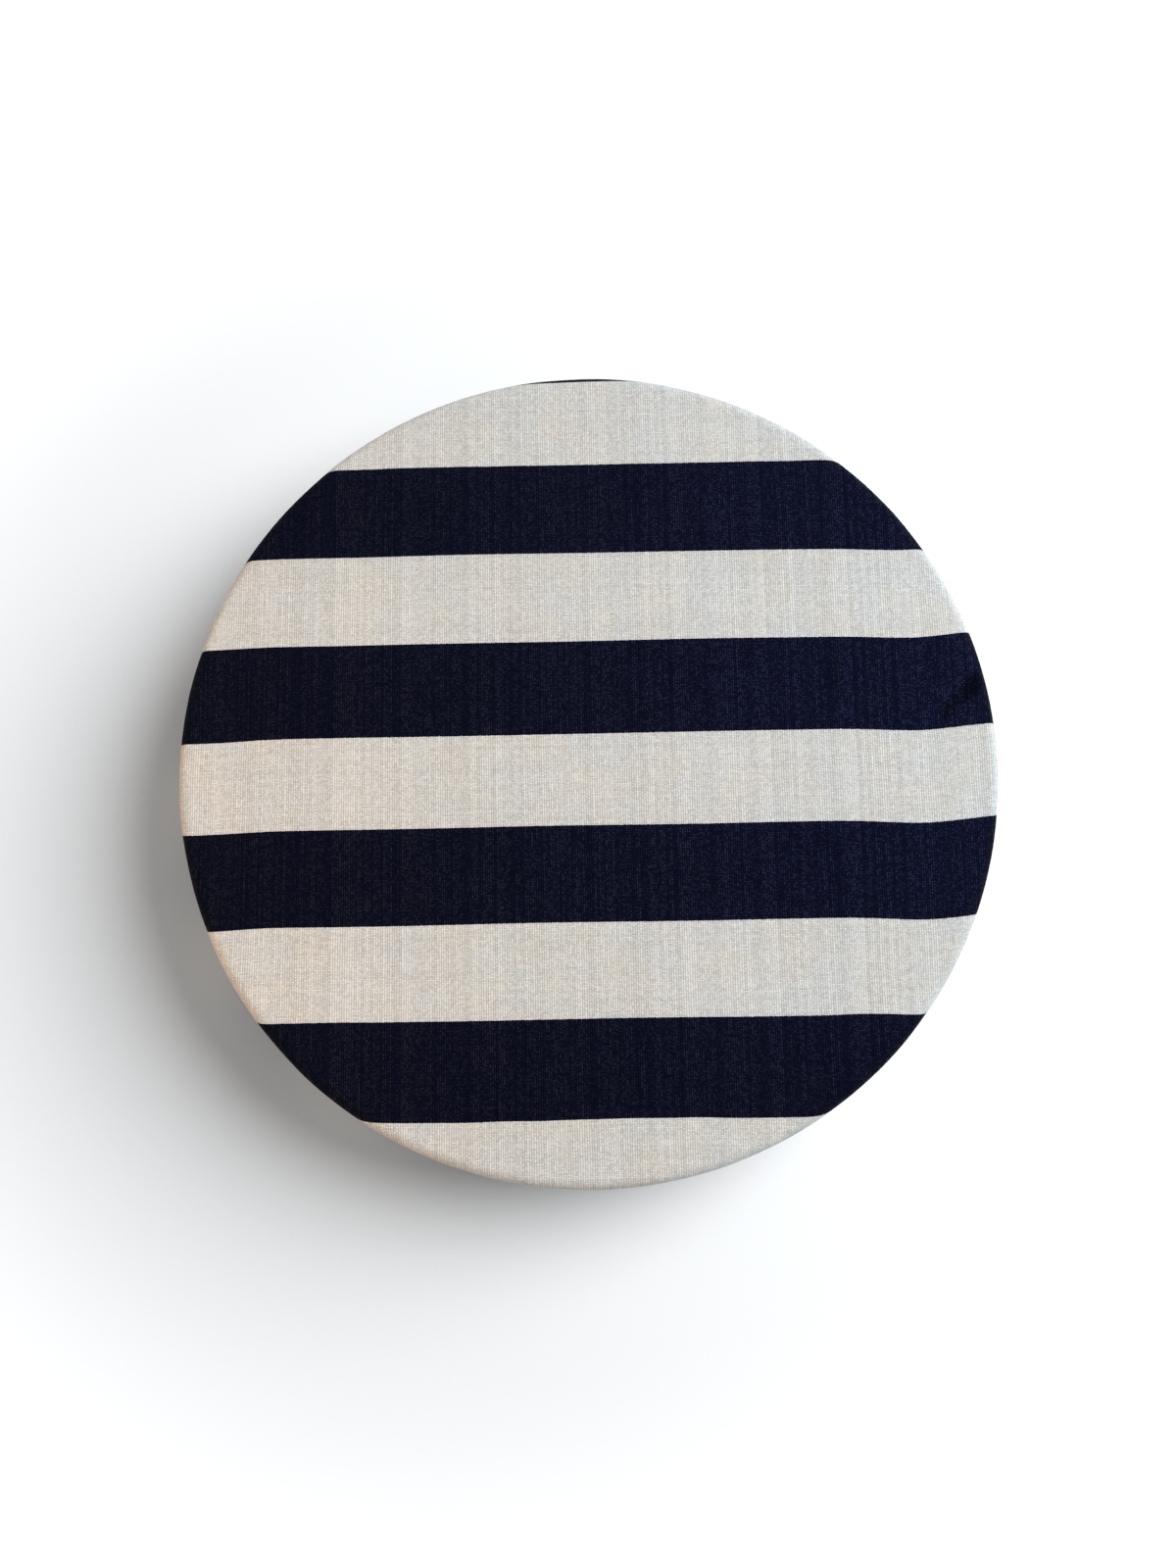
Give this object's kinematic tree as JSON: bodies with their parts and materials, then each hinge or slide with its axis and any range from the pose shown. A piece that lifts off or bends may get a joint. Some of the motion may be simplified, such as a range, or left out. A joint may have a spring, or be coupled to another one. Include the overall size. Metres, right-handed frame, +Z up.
{
  "type": "round upholstered seat cushion",
  "caption": "Round flat seat cushion in broad navy and off-white striped canvas, stapled over foam on a plywood base that bolts to a stool frame.",
  "frame": {"origin": "middle of the underside, on the surface that the cushion rests on", "axes": "+Z up out of the sitting face; the stripes run along X; -Y is the front"},
  "size_m": [0.35, 0.35, 0.058],
  "materials": {
    "striped_canvas": "matte",
    "wadding": "matte",
    "foam": "matte",
    "plywood": "matte",
    "zinc_plated_steel": "satin",
    "staple_wire": "satin",
    "dust_cover_fabric": "matte"
  },
  "bodies": {
    "root": {"canvas_cover": "striped_canvas", "wadding": "wadding", "foam_pad": "foam", "base_board": "plywood", "t_nut_front_left": "zinc_plated_steel", "t_nut_front_right": "zinc_plated_steel", "t_nut_back_left": "zinc_plated_steel", "t_nut_back_right": "zinc_plated_steel", "cover_staples": "staple_wire", "dust_cover": "dust_cover_fabric", "dust_cover_staples": "staple_wire"}
  },
  "joints": []
}
